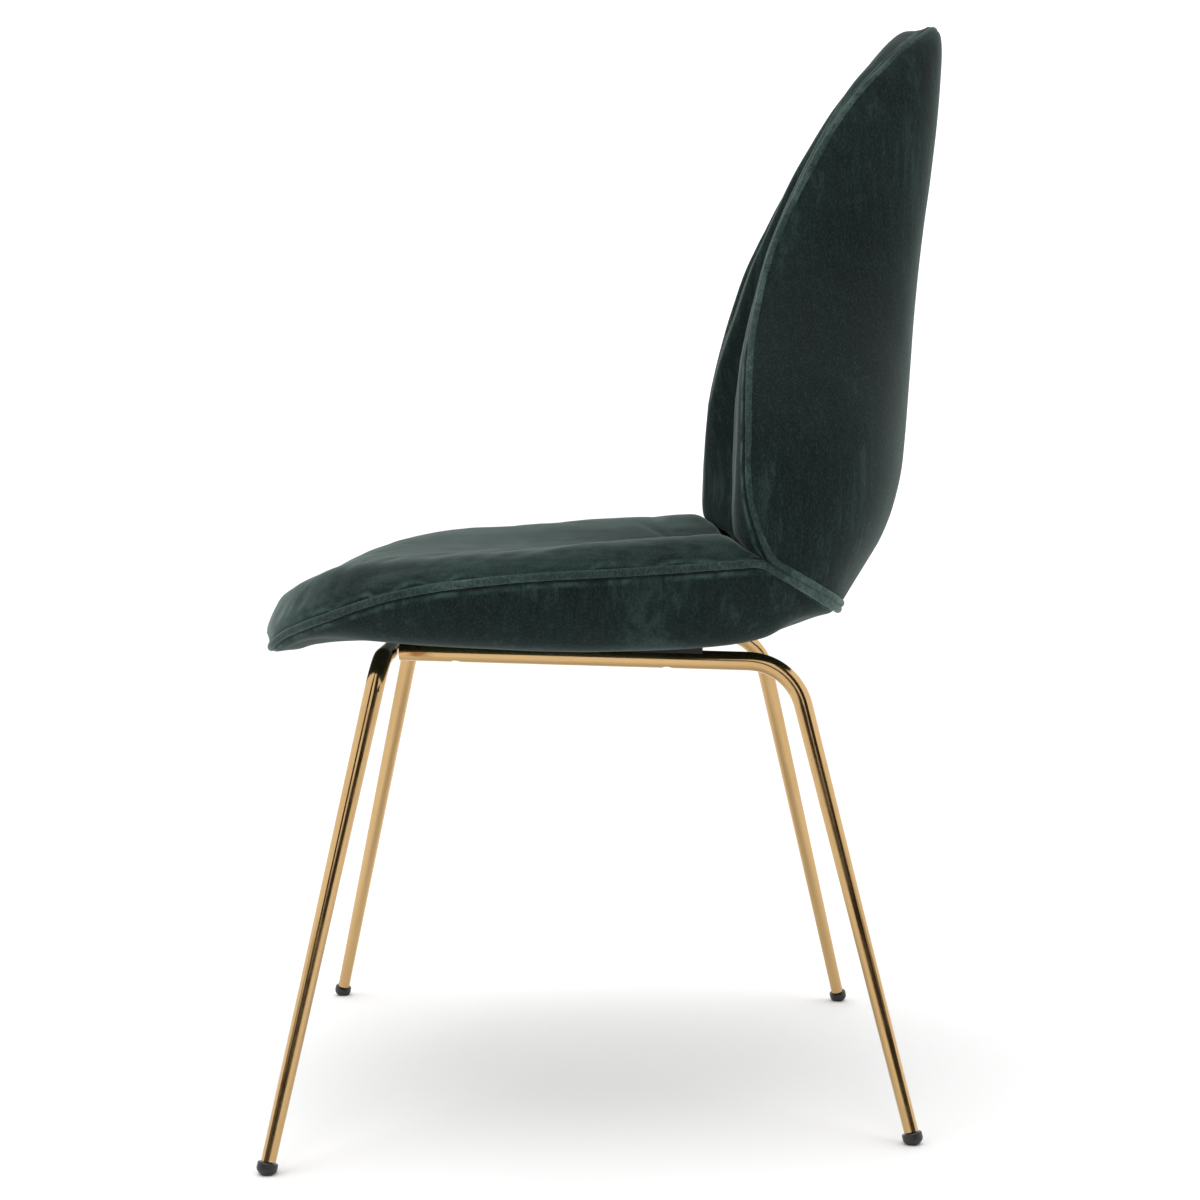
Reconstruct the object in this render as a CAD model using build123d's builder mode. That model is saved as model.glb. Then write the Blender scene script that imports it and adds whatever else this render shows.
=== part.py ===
"""Upholstered dining chair: bucket seat and scooped back in velvet on a tapered brass tube base.

Frame: +Z up, Z = 0 is the floor, the sitter faces -Y, +X is the sitter's left.
The origin is under the middle of the chair's overall box.  Millimetres.
"""
from build123d import *
import math
import os

os.makedirs("parts", exist_ok=True)

# ---------------------------------------------------------------- driving dimensions
ORIGIN_Y = 252.155         # distance from the front feet line back to the origin
WELT_R = 3.5               # piping radius
COVER_T = 2.5              # velvet with its thin backing foam
LAYER_GAP = 0.6            # clearance between neighbouring layers
SHELL_T = 8.0              # moulded plywood shell
SHELL_EDGE = 11.0          # back shell stops this far inside the rim

TUBE_R = 7.3               # rail, crossbar and elbow tube radius
FOOT_R = 5.4               # tube radius where the leg meets its glide
TUBE_WALL = 1.6

FRONT_FOOT = (263.2, 0.0)          # x, y on the floor, y from the front feet line
FRONT_RAKE = (-0.2094, 0.2246)     # x and y shift per unit of height
REAR_FOOT = (216.1, 478.9)
REAR_RAKE = (-0.1880, -0.2318)
CROSSBAR_Z = 366.0
REAR_CORNER_Z = 357.5
RAIL_FRONT_X = 105.0
FRONT_BEND_R = 30.0
REAR_BEND_R = 45.0

GLIDE_R = 7.6
GLIDE_H = 8.6
GLIDE_LAND_R = 3.0
GLIDE_STUD_R = 3.4
GLIDE_STUD_L = 16.0

JOINT_Y, JOINT_Z, JOINT_SLOPE = 370.0, 438.5, -0.60   # plane where the seat meets the back

# seat: y, half width, rim z, crest x, crest z, dish z, side z, underside z
SEAT = [
    (-26.3, 56.0, 368.3, 26.0, 380.0, 379.8, 366.4, 366.0),
    (-25.0, 66.0, 368.5, 34.0, 387.5, 387.0, 366.0, 365.4),
    (-22.0, 82.0, 368.5, 48.0, 394.0, 393.0, 365.4, 364.6),
    (-16.0, 104.0, 371.0, 68.0, 402.5, 401.5, 365.4, 364.0),
    (-8.0, 126.0, 376.0, 92.0, 410.5, 409.0, 367.2, 364.4),
    (4.0, 150.0, 383.5, 117.0, 418.5, 416.0, 371.6, 365.4),
    (20.0, 173.0, 390.5, 141.0, 426.5, 421.5, 378.0, 370.0),
    (45.0, 200.0, 400.0, 168.0, 436.5, 426.5, 381.2, 373.6),
    (80.0, 224.0, 412.5, 193.0, 443.5, 429.5, 379.4, 375.6),
    (120.0, 240.0, 422.0, 210.0, 448.5, 430.0, 376.8, 375.8),
    (160.0, 248.0, 427.0, 218.0, 451.0, 429.0, 374.8, 375.2),
    (200.0, 250.0, 430.3, 220.0, 453.5, 428.0, 372.8, 374.6),
    (240.0, 248.0, 432.0, 218.0, 456.5, 427.0, 371.4, 374.2),
    (290.0, 240.5, 434.0, 211.0, 459.0, 426.0, 371.6, 374.2),
    (330.0, 230.5, 436.0, 201.0, 461.0, 425.5, 373.0, 374.6),
]
# underside of the seat behind the rails: y, centre z
SEAT_REAR_UNDER = [(365.0, 374.6), (385.0, 378.2), (405.0, 384.0), (425.0, 390.8), (440.0, 395.6)]

# back: z, half width, rim y, spine y, crest x, crest y, dish y
BACK = [
    (395.0, 190.0, 400.0, 440.0, 165.0, 385.0, 392.0),
    (410.0, 205.0, 388.0, 449.6, 178.0, 372.0, 396.0),
    (430.0, 216.0, 376.0, 463.4, 188.0, 360.0, 401.0),
    (455.0, 222.5, 366.0, 479.2, 193.0, 351.5, 415.0),
    (480.0, 225.0, 358.5, 489.2, 194.0, 349.3, 429.0),
    (505.0, 223.0, 356.0, 495.4, 191.0, 349.5, 438.0),
    (530.0, 216.0, 357.0, 498.6, 184.0, 350.2, 442.5),
    (560.0, 199.0, 358.8, 501.9, 168.0, 352.5, 446.5),
    (590.0, 177.0, 362.0, 505.2, 147.0, 357.0, 451.0),
    (620.0, 154.0, 368.0, 508.2, 125.0, 363.5, 455.5),
    (650.0, 135.0, 376.0, 511.4, 108.0, 371.5, 460.0),
    (680.0, 121.0, 386.0, 515.0, 95.0, 381.0, 464.5),
    (710.0, 112.0, 400.0, 519.0, 86.0, 394.0, 470.0),
    (740.0, 105.0, 415.5, 523.5, 80.0, 409.0, 475.0),
    (770.0, 97.0, 433.0, 527.3, 72.0, 425.5, 480.0),
    (800.0, 86.0, 454.5, 530.6, 62.0, 446.0, 484.0),
    (825.0, 72.0, 478.5, 532.4, 49.0, 469.0, 487.5),
    (845.0, 55.0, 500.0, 533.6, 34.0, 489.5, 494.0),
    (857.0, 37.0, 514.0, 533.9, 20.0, 501.5, 503.0),
    (864.0, 22.0, 521.5, 533.5, 11.0, 508.0, 508.5),
]

SCREW_Y = (135.0, 300.0)   # frame screw stations along each rail
BRACKET_X = 95.0           # seat-to-back bracket position each side
BRACKET_T = 6.0


# ---------------------------------------------------------------- profile helpers
def fy(y):
    """y from the front feet line to y in the chair's frame."""
    return y - ORIGIN_Y


def table(rows, key):
    """Linear interpolation between the rows of a table on its first column."""
    if key <= rows[0][0]:
        return rows[0][1:]
    for a, b in zip(rows, rows[1:]):
        if key <= b[0]:
            t = (key - a[0]) / (b[0] - a[0])
            return tuple(p + (q - p) * t for p, q in zip(a[1:], b[1:]))
    return rows[-1][1:]


def joint_z(y):
    return JOINT_Z + JOINT_SLOPE * (y - JOINT_Y)


def mirrored(side):
    """A full left-to-right curve from its +X half, which runs from the rim to the middle."""
    return [(-x, v) for x, v in side[:-1]] + [(x, v) for x, v in reversed(side)]


def offsets(points, distances, edge, count):
    """Even samples of a left-to-right curve, each moved to its left by each distance.

    The samples stop a distance along the curve short of both of its ends, and the same
    sample of every offset lies on one normal.
    """
    lengths = [0.0]
    for a, b in zip(points, points[1:]):
        lengths.append(lengths[-1] + math.dist(a, b))
    out = [[] for _ in distances]
    for i in range(count):
        s = edge + (lengths[-1] - 2 * edge) * i / (count - 1)
        j = max(k for k in range(len(lengths) - 1) if lengths[k] <= s + 1e-9)
        t = (s - lengths[j]) / (lengths[j + 1] - lengths[j])
        a, b = points[j], points[j + 1]
        before, after = points[max(j - 1, 0)], points[min(j + 2, len(points) - 1)]
        dx = (b[0] - before[0]) * (1 - t) + (after[0] - a[0]) * t
        dv = (b[1] - before[1]) * (1 - t) + (after[1] - a[1]) * t
        n = math.hypot(dx, dv)
        x, v = a[0] + (b[0] - a[0]) * t, a[1] + (b[1] - a[1]) * t
        for line, distance in zip(out, distances):
            line.append((x - distance * dv / n, v + distance * dx / n))
    return out


def smooth(points, steps=8):
    """Catmull-Rom curve through points."""
    out = []
    for i in range(len(points) - 1):
        p0, p1 = points[max(i - 1, 0)], points[i]
        p2, p3 = points[i + 1], points[min(i + 2, len(points) - 1)]
        for k in range(steps):
            t = k / steps
            out.append(tuple(0.5 * (2 * b + (c - a) * t + (2 * a - 5 * b + 4 * c - d) * t * t
                                    + (3 * b - a - 3 * c + d) * t ** 3)
                             for a, b, c, d in zip(p0, p1, p2, p3)))
    out.append(points[-1])
    return out


def arc_to(x0, v0, x1, v1, steps=9):
    """Quarter ellipse from a rim point to a level point further in."""
    out = []
    for i in range(steps):
        a = math.pi / 2 * i / (steps - 1)
        out.append((x1 + (x0 - x1) * math.cos(a), v0 + (v1 - v0) * math.sin(a)))
    return out


def rear_half_width(y):
    """Half width of the outer surface on the joint plane, for the seat's rear end."""
    z = joint_z(y)
    w, yr, ys = table(BACK, z)[:3]
    t = min(max((y - yr) / (ys - yr), 0.0), 0.985)
    return w * (1 - t ** 2.2) ** (1 / 2.2)


def seat_row(y):
    if y <= 330.0:
        return table(SEAT, y)
    under = table(SEAT_REAR_UNDER, y)[0]
    if y < 372.0:
        t = (y - 330.0) / 42.0
        a = SEAT[-1][1:]
        w = a[0] + (rear_half_width(372.0) - a[0]) * t
        return (w, a[1] + (joint_z(372.0) - a[1]) * t, w - 30.0, 461.0, 425.5,
                a[5] + (under + 1.5 - a[5]) * t, under)
    w = rear_half_width(y)
    top = joint_z(y)
    return (w, top, w * 0.86, top + 22.0, top + 10.0, under + 0.25 * (top - under), under)


def seat_under(y):
    w, zr, xc, zc, zd, zs, zb = seat_row(y)
    side = arc_to(w, zr, 0.8 * w, zs)
    flat = smooth([(0.8 * w, zs), (0.62 * w, zs + 0.75 * (zb - zs)), (0.42 * w, zb), (0.0, zb)])
    return mirrored(side + flat[1:])


def seat_top(y):
    w, zr, xc, zc, zd, zs, zb = seat_row(y)
    side = arc_to(w, zr, xc, zc)
    d = zc - zd
    dish = smooth([(xc, zc), (0.8 * xc, zc - 0.22 * d), (0.55 * xc, zc - 0.66 * d),
                   (0.28 * xc, zc - 0.93 * d), (0.0, zd)])
    return mirrored(side + dish[1:])


def back_outer(z):
    w, yr, ys, xc, yc, yd = table(BACK, z)
    side = []
    for i in range(25):
        a = math.pi / 2 * i / 24
        e = 2 / 2.2
        side.append((w * math.cos(a) ** e if i < 24 else 0.0, fy(yr + (ys - yr) * math.sin(a) ** e)))
    return mirrored(side)


def back_inner(z):
    w, yr, ys, xc, yc, yd = table(BACK, z)
    side = arc_to(w, fy(yr), xc, fy(yc))
    d = yd - yc
    dish = smooth([(xc, fy(yc)), (0.84 * xc, fy(yc + 0.17 * d)), (0.62 * xc, fy(yc + 0.55 * d)),
                   (0.33 * xc, fy(yc + 0.9 * d)), (0.0, fy(yd))])
    return mirrored(side + dish[1:])


COUNT = 25                 # points on each long edge of a section
COVER_EDGE = 5.2           # covers stop here, at the side of the piping
# the outer covers stop further from the rim where it turns across the chair
SEAT_EDGE = [(-18.5, 23.5), (-16.0, 18.4), (-8.0, 13.8), (4.0, 10.4), (20.0, 8.6), (45.0, 6.8), (80.0, 5.4)]
BACK_EDGE = [(740.0, 5.2), (800.0, 6.4), (825.0, 7.6), (845.0, 9.0), (857.0, 11.0), (860.0, 12.0)]


def seat_plane(y):
    return Plane(origin=(0, fy(y), 0), x_dir=(1, 0, 0), z_dir=(0, -1, 0))


JOINT_NORMAL = Vector(0, -JOINT_SLOPE, 1).normalized()


def joint_plane(lift):
    """Joint plane, shifted along its upward normal."""
    at = Vector(0, fy(JOINT_Y), JOINT_Z) + JOINT_NORMAL * lift
    return Plane(origin=at, x_dir=(1, 0, 0), z_dir=JOINT_NORMAL)


SEAT_Y = [-26.3, -25.0, -22.0, -18.5, -16.0, -8.0, 4.0, 20.0, 45.0, 80.0, 120.0, 160.0, 200.0, 240.0, 290.0,
          330.0, 352.0, 372.0, 390.0, 408.0, 420.0, 436.0]
BACK_Z = [row[0] for row in BACK[:-1]] + [860.0, BACK[-1][0]]


# ---------------------------------------------------------------- base axes
def on_axis(foot, rake, z):
    return Vector(foot[0] + rake[0] * z, fy(foot[1] + rake[1] * z), z)


FRONT_DIR = Vector(FRONT_RAKE[0], FRONT_RAKE[1], 1).normalized()
REAR_DIR = Vector(REAR_RAKE[0], REAR_RAKE[1], 1).normalized()
FRONT_CORNER = on_axis(FRONT_FOOT, FRONT_RAKE, CROSSBAR_Z)
REAR_CORNER = on_axis(REAR_FOOT, REAR_RAKE, REAR_CORNER_Z)
RAIL_END = Vector(RAIL_FRONT_X, FRONT_CORNER.Y, CROSSBAR_Z)
RAIL_DIR = (RAIL_END - REAR_CORNER).normalized()
CROSS_DIR = Vector(-1, 0, 0)


def bend_reach(d_in, d_out, radius):
    turn = math.radians(d_in.get_angle(d_out))
    return radius * math.tan(turn / 2)


FRONT_REACH = bend_reach(FRONT_DIR, CROSS_DIR, FRONT_BEND_R)
REAR_REACH = bend_reach(REAR_DIR, RAIL_DIR, REAR_BEND_R)


def rail_point(y):
    """Point on the left rail's axis at a distance y from the front feet line."""
    t = (fy(y) - REAR_CORNER.Y) / RAIL_DIR.Y
    return REAR_CORNER + RAIL_DIR * t


def side(v, sign):
    return Vector(v.X * sign, v.Y, v.Z)


# ---------------------------------------------------------------- front legs, rear legs, crossbar
FRONT_BEND_START = FRONT_CORNER - FRONT_DIR * FRONT_REACH
FRONT_BEND_END = FRONT_CORNER + CROSS_DIR * FRONT_REACH
FRONT_TUBE_FOOT = on_axis(FRONT_FOOT, FRONT_RAKE, 0) + FRONT_DIR * (GLIDE_H + 1.0)
REAR_BEND_START = REAR_CORNER - REAR_DIR * REAR_REACH
REAR_BEND_END = REAR_CORNER + RAIL_DIR * REAR_REACH
REAR_TUBE_FOOT = on_axis(REAR_FOOT, REAR_RAKE, 0) + REAR_DIR * (GLIDE_H + 1.0)
# the rail is coped on the crossbar: it stops a tube radius short of the crossbar's axis
RAIL_STOP = RAIL_END - RAIL_DIR * (TUBE_R / abs(RAIL_DIR.Y) + 1.35)

legs = {}
for name, sign in (("front_leg_left", 1), ("front_leg_right", -1)):
    foot, bend0, bend1 = (side(v, sign) for v in (FRONT_TUBE_FOOT, FRONT_BEND_START, FRONT_BEND_END))
    up, across = side(FRONT_DIR, sign), side(CROSS_DIR, sign)
    with BuildPart() as leg:
        with BuildSketch(Plane(origin=foot, z_dir=up)):
            Circle(FOOT_R)
        with BuildSketch(Plane(origin=bend0, z_dir=up)):
            Circle(TUBE_R)
        loft()
        with BuildLine() as elbow:
            TangentArc(bend0, bend1, tangent=up)
        with BuildSketch(Plane(origin=bend0, z_dir=up)):
            Circle(TUBE_R)
        sweep(path=elbow.line)
        with BuildSketch(Plane(origin=foot, z_dir=up)):
            Circle(FOOT_R - TUBE_WALL)
        with BuildSketch(Plane(origin=bend0, z_dir=up)):
            Circle(TUBE_R - TUBE_WALL)
        loft(mode=Mode.SUBTRACT)
        with BuildSketch(Plane(origin=bend0, z_dir=up)):
            Circle(TUBE_R - TUBE_WALL)
        sweep(path=elbow.line, mode=Mode.SUBTRACT)
    legs[name] = leg

for name, sign in (("rear_leg_left", 1), ("rear_leg_right", -1)):
    foot, bend0, bend1, stop = (side(v, sign) for v in
                                (REAR_TUBE_FOOT, REAR_BEND_START, REAR_BEND_END, RAIL_STOP))
    up = side(REAR_DIR, sign)
    with BuildPart() as leg:
        with BuildSketch(Plane(origin=foot, z_dir=up)):
            Circle(FOOT_R)
        with BuildSketch(Plane(origin=bend0, z_dir=up)):
            Circle(TUBE_R)
        loft()
        with BuildLine() as rail:
            bend = TangentArc(bend0, bend1, tangent=up)
            Line(bend @ 1, stop)
        with BuildSketch(Plane(origin=bend0, z_dir=up)):
            Circle(TUBE_R)
        sweep(path=rail.line)
        with BuildSketch(Plane(origin=foot, z_dir=up)):
            Circle(FOOT_R - TUBE_WALL)
        with BuildSketch(Plane(origin=bend0, z_dir=up)):
            Circle(TUBE_R - TUBE_WALL)
        loft(mode=Mode.SUBTRACT)
        with BuildSketch(Plane(origin=bend0, z_dir=up)):
            Circle(TUBE_R - TUBE_WALL)
        sweep(path=rail.line, mode=Mode.SUBTRACT)
        # screw holes: clearance for the shank through the upper wall, for the head through the lower
        for y in SCREW_Y:
            p = side(rail_point(y), sign)
            with BuildSketch(Plane.XY.offset(p.Z)):
                with Locations((p.X, p.Y)):
                    Circle(3.3)
            extrude(amount=12, mode=Mode.SUBTRACT)
            with BuildSketch(Plane.XY.offset(p.Z - 12)):
                with Locations((p.X, p.Y)):
                    Circle(4.5)
            extrude(amount=12, mode=Mode.SUBTRACT)
    legs[name] = leg

with BuildPart() as front_crossbar:
    with BuildSketch(Plane(origin=(-FRONT_BEND_END.X, FRONT_CORNER.Y, CROSSBAR_Z), z_dir=(1, 0, 0))):
        Circle(TUBE_R)
        Circle(TUBE_R - TUBE_WALL, mode=Mode.SUBTRACT)
    extrude(amount=2 * FRONT_BEND_END.X)

for name, leg in legs.items():
    leg.part.label = name
    export_step(leg.part, f"parts/{name}.step")
front_crossbar.part.label = "front_crossbar"
export_step(front_crossbar.part, "parts/front_crossbar.step")

# ---------------------------------------------------------------- glides
for name, sign, foot, axis in (("glide_front_left", 1, FRONT_FOOT, FRONT_DIR),
                               ("glide_front_right", -1, FRONT_FOOT, FRONT_DIR),
                               ("glide_rear_left", 1, REAR_FOOT, REAR_DIR),
                               ("glide_rear_right", -1, REAR_FOOT, REAR_DIR)):
    up = side(axis, sign)
    base = Vector(foot[0] * sign, fy(foot[1]), 0)
    # the cap turns about the leg's own axis; its rounded end is cut level at the floor
    ref = Vector(0, 1, 0).cross(up).normalized()
    with BuildPart() as glide:
        with BuildSketch(Plane(origin=base, x_dir=ref, z_dir=up.cross(ref) * -1)) as profile:
            with BuildLine():
                rim = Line((0, GLIDE_H), (GLIDE_R - 0.6, GLIDE_H))
                chamfered = Line(rim @ 1, (GLIDE_R, GLIDE_H - 0.7))
                wall = Line(chamfered @ 1, (GLIDE_R, 4.6))
                dome = Spline(wall @ 1, (GLIDE_R * 0.80, 1.3), (0, -1.2), tangents=((0, -1), (-1, 0)))
                Line(dome @ 1, (0, GLIDE_H))
            make_face()
        revolve(axis=Axis(base, up))
        with BuildSketch(Plane(origin=base + up * GLIDE_H, z_dir=up)):
            Circle(GLIDE_STUD_R)
        extrude(amount=GLIDE_STUD_L)
        split(bisect_by=Plane.XY, keep=Keep.TOP)
    glide.part.label = name
    export_step(glide.part, f"parts/{name}.step")

# ---------------------------------------------------------------- fastener axes
SCREWS = [side(rail_point(y), s) for s in (1, -1) for y in SCREW_Y]
SHELL_TOP_GAP = COVER_T + LAYER_GAP + SHELL_T


def under_z(x, y):
    """Height of the seat's underside over a plan point, y from the front feet line."""
    curve = seat_under(y)
    for a, b in zip(curve, curve[1:]):
        if min(a[0], b[0]) <= x <= max(a[0], b[0]) and abs(b[0] - a[0]) > 1e-9:
            if (a[1] + b[1]) / 2 < seat_row(y)[1]:
                return a[1] + (b[1] - a[1]) * (x - a[0]) / (b[0] - a[0])
    raise ValueError("outside the seat")


# ---------------------------------------------------------------- rail spacers
for name, sign in (("rail_spacer_left", 1), ("rail_spacer_right", -1)):
    with BuildPart() as spacer:
        # a strip standing on the rail and cut to the seat's underside
        for y in (112.0, 160.0, 210.0, 265.0, 327.0):
            p = side(rail_point(y), sign)
            top = under_z(abs(p.X), y) - 0.5
            with BuildSketch(seat_plane(y)):
                with BuildLine():
                    Polyline((p.X - 5.5, p.Z + 2.0), (p.X + 5.5, p.Z + 2.0), (p.X + 5.5, top),
                             (p.X - 5.5, top), close=True)
                make_face()
        loft(ruled=True)
        for y in SCREW_Y:
            p = side(rail_point(y), sign)
            with BuildSketch(Plane.XY.offset(p.Z)):
                with Locations((p.X, p.Y)):
                    Circle(3.3)
            extrude(amount=30, mode=Mode.SUBTRACT)
        # saddle groove that sits on the tube
        a, b = side(rail_point(95.0), sign), side(rail_point(345.0), sign)
        with BuildSketch(Plane(origin=a, z_dir=b - a)):
            Circle(TUBE_R + 0.1)
        extrude(amount=(b - a).length, mode=Mode.SUBTRACT)
    spacer.part.label = name
    export_step(spacer.part, f"parts/{name}.step")

# ---------------------------------------------------------------- frame screws and tee nuts
with BuildPart() as frame_screws:
    for p in SCREWS:
        y = p.Y + ORIGIN_Y
        shell_top = under_z(abs(p.X), y) + SHELL_TOP_GAP
        # the head sits inside the tube, under its upper wall
        with BuildSketch(Plane.XY.offset(p.Z + 1.0)):
            with Locations((p.X, p.Y)):
                Circle(4.0)
        extrude(amount=2.7)
        with BuildSketch(Plane.XY.offset(p.Z + 3.5)):
            with Locations((p.X, p.Y)):
                Circle(3.0)
        extrude(amount=shell_top - 1.0 - (p.Z + 3.5))
        with BuildSketch(Plane.XY.offset(p.Z + 1.0)):
            with Locations((p.X, p.Y)):
                RegularPolygon(2.3, 6)
        extrude(amount=1.6, mode=Mode.SUBTRACT)

with BuildPart() as tee_nuts:
    for p in SCREWS:
        y = p.Y + ORIGIN_Y
        shell_top = under_z(abs(p.X), y) + SHELL_TOP_GAP
        with BuildSketch(Plane.XY.offset(shell_top + 0.5)):
            with Locations((p.X, p.Y)):
                Circle(9.0)
                Circle(3.05, mode=Mode.SUBTRACT)
        extrude(amount=1.5)
        with BuildSketch(Plane.XY.offset(shell_top - 6.5)):
            with Locations((p.X, p.Y)):
                Circle(4.0)
                Circle(3.05, mode=Mode.SUBTRACT)
        extrude(amount=7.5)

for name, item in (("frame_screws", frame_screws), ("tee_nuts", tee_nuts)):
    item.part.label = name
    export_step(item.part, f"parts/{name}.step")

# ---------------------------------------------------------------- seat layers
FOAM_IN = COVER_T + SHELL_T + 2 * LAYER_GAP
TOP_IN = COVER_T + LAYER_GAP
SIDE_OF_WELT = 2 * WELT_R + 1.4   # outer covers stop at the side of the piping

seat_sections = {"seat_outer_cover": [], "seat_shell": [], "seat_foam": [], "seat_inner_cover": []}
for y in SEAT_Y:
    under, top = seat_under(y), seat_top(y)
    if y >= -18.5:
        seat_sections["seat_outer_cover"].append(
            (y, *offsets(under, (0.0, COVER_T), table(SEAT_EDGE, y)[0], COUNT)))
    if y <= 408.0 and y != -18.5:
        seat_sections["seat_inner_cover"].append(
            (y, *offsets(top, (-COVER_T, 0.0), COVER_EDGE + (2.0 if y < -20.0 else 0.0), COUNT)))
    if -16.0 <= y <= 420.0:
        shell_low, shell_high, low = offsets(
            under, (TOP_IN, TOP_IN + SHELL_T, FOAM_IN), table(SEAT_EDGE, y)[0] + 5.8, COUNT)
        seat_sections["seat_shell"].append((y, shell_low, shell_high))
        high, = offsets(top, (-TOP_IN,), 6.5, COUNT)
        seat_sections["seat_foam"].append((y, low, high))

# ---------------------------------------------------------------- piping
def path_radii(points):
    """Bend radius at each inner corner, from the shorter of its two runs."""
    radii = []
    for a, b, c in zip(points, points[1:], points[2:]):
        turn = math.radians((b - a).get_angle(c - b))
        radii.append(0.45 * min((b - a).length, (c - b).length) / math.tan(turn / 2))
    return radii


def on_joint(y, lift):
    """Point just outside the outer surface on the joint plane, lifted along the plane's normal."""
    x = rear_half_width(y)
    ahead, behind = rear_half_width(y - 1.0), rear_half_width(y + 1.0)
    along = Vector(behind - ahead, 2.0, 2.0 * JOINT_SLOPE).normalized()
    out = along.cross(JOINT_NORMAL).normalized()
    return Vector(x, fy(y), joint_z(y)) + out * WELT_OUT + JOINT_NORMAL * lift


JOINT_STATIONS = (440.0, 437.0, 433.0, 428.0, 422.0, 415.0, 407.0, 398.0, 388.0, 378.0)
WELT_LIFT = WELT_R + 0.3
WELT_OUT = 2.8             # the doubled piping stands proud of the covers along the joint

back_path = [Vector(-6, fy(446.6), joint_z(446.6)) + JOINT_NORMAL * WELT_LIFT,
             Vector(30, fy(445.6), joint_z(445.6)) + JOINT_NORMAL * WELT_LIFT]
back_path += [on_joint(y, WELT_LIFT) for y in JOINT_STATIONS]
back_path += [Vector(220.6, fy(370.7), 441.7)]
back_path += [Vector(row[1], fy(row[2]), row[0]) for row in BACK[3:-1]]
back_path += [Vector(20, fy(524.5), 864.5), Vector(-6, fy(527.5), 866.3)]

seat_path = [Vector(-6, fy(446.6), joint_z(446.6)) - JOINT_NORMAL * WELT_LIFT,
             Vector(30, fy(445.6), joint_z(445.6)) - JOINT_NORMAL * WELT_LIFT]
seat_path += [on_joint(y, -WELT_LIFT) for y in JOINT_STATIONS]
seat_path += [Vector(221.0, fy(366.0), 435.2), Vector(seat_row(352.0)[0], fy(352.0), 436.7)]
seat_path += [Vector(row[1], fy(row[0]), row[2]) for row in reversed(SEAT[3:])]
seat_path += [Vector(86, fy(-20.8), 368.8), Vector(48, fy(-25.2), 368.0), Vector(-6, fy(-26.2), 367.8)]

welts = {}
for name, path in (("seat_welt", seat_path), ("back_welt", back_path)):
    radii = path_radii(path)
    print(name, "radii", [round(r) for r in radii])
    with BuildPart() as welt:
        with BuildLine() as line:
            FilletPolyline(*path, radius=radii)
        with BuildSketch(Plane(origin=path[0], z_dir=path[1] - path[0])):
            Circle(WELT_R)
        sweep(path=line.wire())
        split(bisect_by=Plane.YZ, keep=Keep.TOP)
        mirror(about=Plane.YZ)
    welts[name] = welt
    print(name, len(welts[name].part.solids()), round(welts[name].part.volume),
          round(2 * math.pi * WELT_R ** 2 * line.wire().length), welts[name].part.is_valid)

# ---------------------------------------------------------------- seat-to-back brackets
BAR_W, BAR_T = 20.0, 3.0
BAR = [(338.0, 390.6), (386.0, 393.6), (445.0, 447.5), (461.0, 480.0)]
BAR_SCREWS = [((350.0, 391.35), (-0.0625, 1.0)), ((376.0, 392.98), (-0.0625, 1.0)),
              ((449.0, 455.7), (-0.897, 0.442)), ((456.2, 470.3), (-0.897, 0.442))]


def bar_outline(grow):
    """Bent bar profile in the y-z plane, half a thickness plus grow either side of its line."""
    pts = [(fy(y), z) for y, z in BAR]
    h = BAR_T / 2 + grow
    left, right = [], []
    for i, p in enumerate(pts):
        a, b = pts[max(i - 1, 0)], pts[min(i + 1, len(pts) - 1)]
        if 0 < i < len(pts) - 1:
            d0 = math.atan2(p[1] - a[1], p[0] - a[0])
            d1 = math.atan2(b[1] - p[1], b[0] - p[0])
            ang, k = (d0 + d1) / 2, 1 / math.cos((d1 - d0) / 2)
        else:
            ang, k = math.atan2(b[1] - a[1], b[0] - a[0]), 1.0
        e = 0.0 if 0 < i < len(pts) - 1 else (-grow if i == 0 else grow)
        q = (p[0] + e * math.cos(ang), p[1] + e * math.sin(ang))
        left.append((q[0] - h * k * math.sin(ang), q[1] + h * k * math.cos(ang)))
        right.append((q[0] + h * k * math.sin(ang), q[1] - h * k * math.cos(ang)))
    return left + right[::-1]


def screw_plane(x, screw, along):
    """Plane on a bracket screw's axis, a distance along it from the bar's line."""
    (y, z), (ny, nz) = screw
    out = Vector(0, ny, nz).normalized()
    return Plane(origin=Vector(x, fy(y), z) + out * along, x_dir=(1, 0, 0), z_dir=out)


brackets, pockets = {}, {}
for name, x in (("joint_bracket_left", BRACKET_X), ("joint_bracket_right", -BRACKET_X)):
    with BuildPart() as bracket:
        with BuildSketch(Plane(origin=(x - BAR_W / 2, 0, 0), x_dir=(0, 1, 0), z_dir=(1, 0, 0))):
            with BuildLine():
                Polyline(*bar_outline(0), close=True)
            make_face()
        extrude(amount=BAR_W)
        for screw in BAR_SCREWS:
            with BuildSketch(screw_plane(x, screw, -5)):
                Circle(2.6)
            extrude(amount=10, mode=Mode.SUBTRACT)
    with BuildPart() as pocket:
        with BuildSketch(Plane(origin=(x - BAR_W / 2 - 0.4, 0, 0), x_dir=(0, 1, 0), z_dir=(1, 0, 0))):
            with BuildLine():
                Polyline(*bar_outline(0.5), close=True)
            make_face()
        extrude(amount=BAR_W + 0.8)
        for screw in BAR_SCREWS:
            with BuildSketch(screw_plane(x, screw, -9)):
                Circle(5.2)
            extrude(amount=14.5)
    brackets[name], pockets[name] = bracket, pocket

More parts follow.
